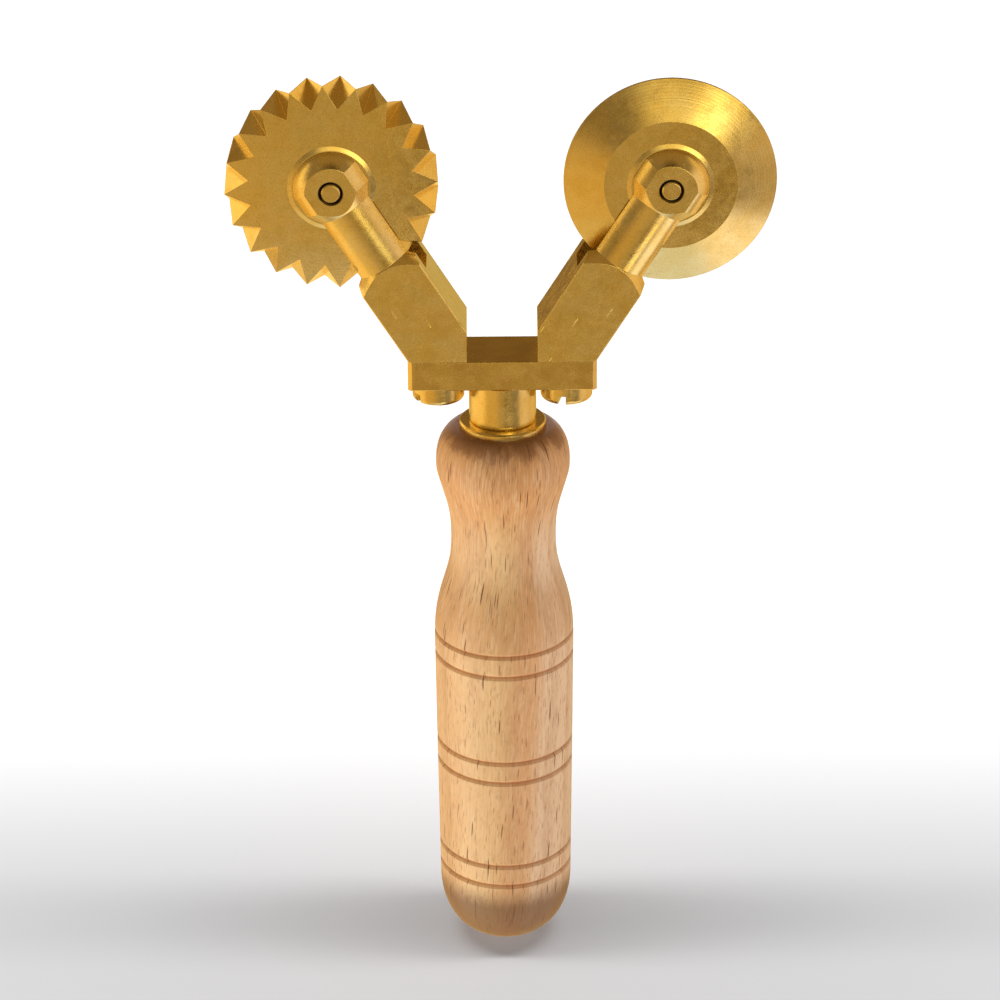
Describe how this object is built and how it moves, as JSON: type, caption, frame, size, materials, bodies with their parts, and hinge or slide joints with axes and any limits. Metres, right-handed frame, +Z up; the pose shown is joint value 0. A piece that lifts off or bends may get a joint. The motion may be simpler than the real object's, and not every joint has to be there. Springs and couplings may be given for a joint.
{
  "type": "double pastry wheel cutter",
  "caption": "Hand pastry cutter with a fluted and a plain brass wheel on forked arms, screwed to a cross plate on a turned beech handle.",
  "frame": {"origin": "lowest point of the handle's rounded end, on the handle's axis", "axes": "+Z up the handle to the wheels, +X to the plain wheel, both wheel axles along Y with the front at -Y"},
  "size_m": [0.1034, 0.0274, 0.1831],
  "materials": {
    "beech": "sanded and lightly oiled",
    "brass_turned": "turned, satin",
    "brass_plate": "drawn flat bar, ground",
    "brass_arm": "turned and ground, satin",
    "brass_screw": "machined, satin",
    "brass_pin": "drawn rod, cut ends",
    "brass_fluted_wheel": "turned and fluted, satin",
    "brass_plain_wheel": "turned with fine lathe rings",
    "steel_stud": "plain threaded rod"
  },
  "bodies": {
    "frame": {"handle": "beech", "handle_washer": "brass_turned", "neck_collar": "brass_turned", "tang_stud": "steel_stud", "cross_plate": "brass_plate", "left_arm": "brass_arm", "right_arm": "brass_arm", "left_clamp_screw": "brass_screw", "right_clamp_screw": "brass_screw", "left_axle_pin": "brass_pin", "right_axle_pin": "brass_pin"},
    "fluted_wheel": {"fluted_wheel": "brass_fluted_wheel"},
    "plain_wheel": {"plain_wheel": "brass_plain_wheel"}
  },
  "joints": [
    {"name": "fluted_wheel_spin", "type": "hinge", "parent": "frame", "child": "fluted_wheel", "pos_m": [-0.0317, 0, 0.1631], "axis": [0, 1, 0], "continuous": true},
    {"name": "plain_wheel_spin", "type": "hinge", "parent": "frame", "child": "plain_wheel", "pos_m": [0.0317, 0, 0.1631], "axis": [0, 1, 0], "continuous": true}
  ]
}
